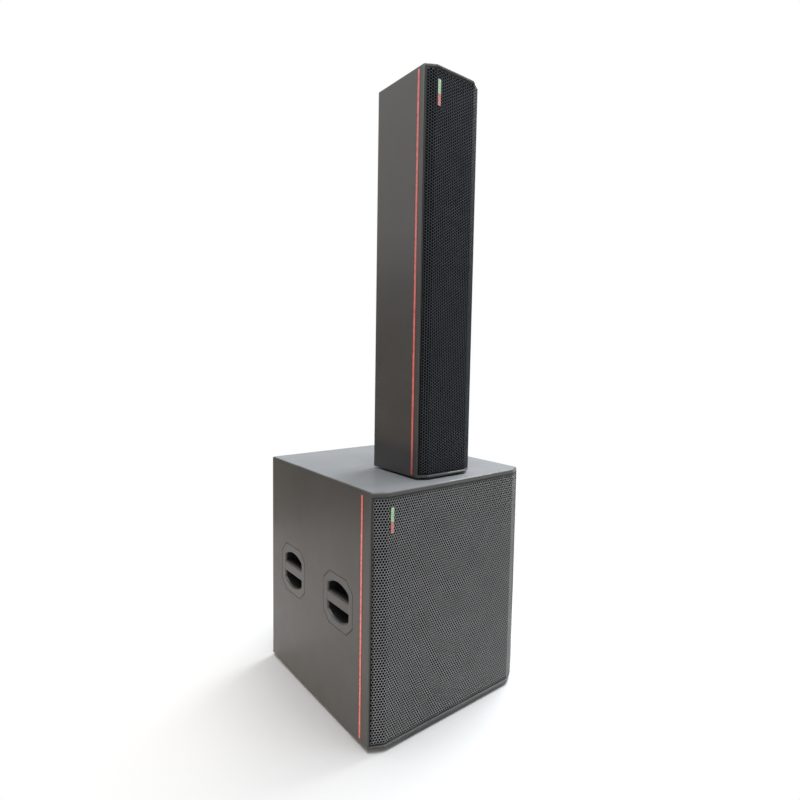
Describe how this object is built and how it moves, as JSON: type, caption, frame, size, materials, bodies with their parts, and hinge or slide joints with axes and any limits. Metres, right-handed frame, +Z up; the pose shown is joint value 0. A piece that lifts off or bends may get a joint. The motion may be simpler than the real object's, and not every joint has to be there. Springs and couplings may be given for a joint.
{
  "type": "column pa system",
  "caption": "Column loudspeaker standing on a boxy powered subwoofer, with perforated steel grilles, red side strips and recessed bar handles.",
  "frame": {"origin": "on the floor, under the middle of the subwoofer's plan", "axes": "+Z up, grilles face -Y, +X to the right seen from the front"},
  "size_m": [0.576, 0.592, 1.828],
  "materials": {
    "cabinet_paint": "textured charcoal paint on plywood",
    "grille_steel": "black powder coat on perforated sheet",
    "accent_red": "red inlay strip",
    "handle_plastic": "moulded, fine grain",
    "rubber": "matt black",
    "baffle_wood": "black stained plywood",
    "cast_metal": "black coated casting",
    "magnet_metal": "plated steel and ferrite",
    "cone_paper": "coated paper pulp",
    "tray_metal": "black coated sheet",
    "bare_metal": "extruded, clear anodised",
    "socket_plastic": "moulded black",
    "control_plastic": "moulded black",
    "lamp_lens": "lamp lenses in a dark bezel"
  },
  "bodies": {
    "subwoofer": {"sub_cabinet": "cabinet_paint", "sub_grille": "grille_steel", "sub_accent_left": "accent_red", "sub_accent_right": "accent_red", "sub_handle_front_left": "handle_plastic", "sub_handle_front_right": "handle_plastic", "sub_handle_back_left": "handle_plastic", "sub_handle_back_right": "handle_plastic", "sub_foot_front_left": "rubber", "sub_foot_front_right": "rubber", "sub_foot_back_left": "rubber", "sub_foot_back_right": "rubber", "woofer_surround": "rubber", "sub_baffle": "baffle_wood", "woofer_frame": "cast_metal", "sub_pole_socket": "cast_metal", "woofer_magnet": "magnet_metal", "amp_tray": "tray_metal", "amp_module": "tray_metal", "amp_heatsink": "bare_metal", "sub_port_left": "socket_plastic", "sub_port_right": "socket_plastic", "power_inlet": "socket_plastic", "line_in_left_socket": "socket_plastic", "line_in_right_socket": "socket_plastic", "line_out_socket": "socket_plastic", "speaker_out_left_socket": "socket_plastic", "speaker_out_right_socket": "socket_plastic", "sub_level_bar": "lamp_lens"},
    "column": {"column_cabinet": "cabinet_paint", "column_grille": "grille_steel", "column_accent_left": "accent_red", "column_accent_right": "accent_red", "column_foot_front_left": "rubber", "column_foot_front_right": "rubber", "column_foot_back_left": "rubber", "column_foot_back_right": "rubber", "column_baffle": "baffle_wood", "column_pole_socket": "cast_metal", "column_driver_frame_1": "cast_metal", "column_driver_frame_2": "cast_metal", "column_driver_frame_3": "cast_metal", "column_driver_frame_4": "cast_metal", "column_tweeter": "magnet_metal", "column_plate": "tray_metal", "column_horn": "socket_plastic", "column_input_socket": "socket_plastic", "column_level_bar": "lamp_lens"},
    "woofer_cone_assembly": {"woofer_cone": "cone_paper", "woofer_dust_cap": "cone_paper"},
    "gain_knob": {"gain_level_knob": "control_plastic"},
    "bass_knob": {"bass_level_knob": "control_plastic"},
    "column_knob": {"column_level_knob": "control_plastic"},
    "mode_push_button": {"mode_button": "control_plastic"},
    "power_rocker": {"power_switch": "control_plastic"},
    "column_cone_1": {"column_driver_cone_1": "cone_paper"},
    "column_cone_2": {"column_driver_cone_2": "cone_paper"},
    "column_cone_3": {"column_driver_cone_3": "cone_paper"},
    "column_cone_4": {"column_driver_cone_4": "cone_paper"}
  },
  "joints": [
    {"name": "column_lift", "type": "slide", "parent": "subwoofer", "child": "column", "axis": [0, 0, 1], "range_m": [0, 0.15]},
    {"name": "woofer_travel", "type": "slide", "parent": "subwoofer", "child": "woofer_cone_assembly", "axis": [0, -1, 0], "range_m": [-0.008, 0.008], "stiffness_N_per_m": 6000},
    {"name": "gain_knob_turn", "type": "hinge", "parent": "subwoofer", "child": "gain_knob", "pos_m": [0.09, 0.266, 0.42], "axis": [0, 1, 0], "range_deg": [-150, 150]},
    {"name": "bass_knob_turn", "type": "hinge", "parent": "subwoofer", "child": "bass_knob", "pos_m": [0.032, 0.266, 0.42], "axis": [0, 1, 0], "range_deg": [-150, 150]},
    {"name": "column_knob_turn", "type": "hinge", "parent": "subwoofer", "child": "column_knob", "pos_m": [-0.026, 0.266, 0.42], "axis": [0, 1, 0], "range_deg": [-150, 150]},
    {"name": "mode_button_press", "type": "slide", "parent": "subwoofer", "child": "mode_push_button", "axis": [0, -1, 0], "range_m": [0, 0.0025], "stiffness_N_per_m": 400},
    {"name": "power_rocker_tilt", "type": "hinge", "parent": "subwoofer", "child": "power_rocker", "pos_m": [0.0685, 0.2688, 0.3], "axis": [0, 0, 1], "range_deg": [-18, 0]},
    {"name": "column_cone_1_travel", "type": "slide", "parent": "column", "child": "column_cone_1", "axis": [0, -1, 0], "range_m": [-0.003, 0.003], "stiffness_N_per_m": 2000},
    {"name": "column_cone_2_travel", "type": "slide", "parent": "column", "child": "column_cone_2", "axis": [0, -1, 0], "range_m": [-0.003, 0.003], "stiffness_N_per_m": 2000},
    {"name": "column_cone_3_travel", "type": "slide", "parent": "column", "child": "column_cone_3", "axis": [0, -1, 0], "range_m": [-0.003, 0.003], "stiffness_N_per_m": 2000},
    {"name": "column_cone_4_travel", "type": "slide", "parent": "column", "child": "column_cone_4", "axis": [0, -1, 0], "range_m": [-0.003, 0.003], "stiffness_N_per_m": 2000}
  ]
}
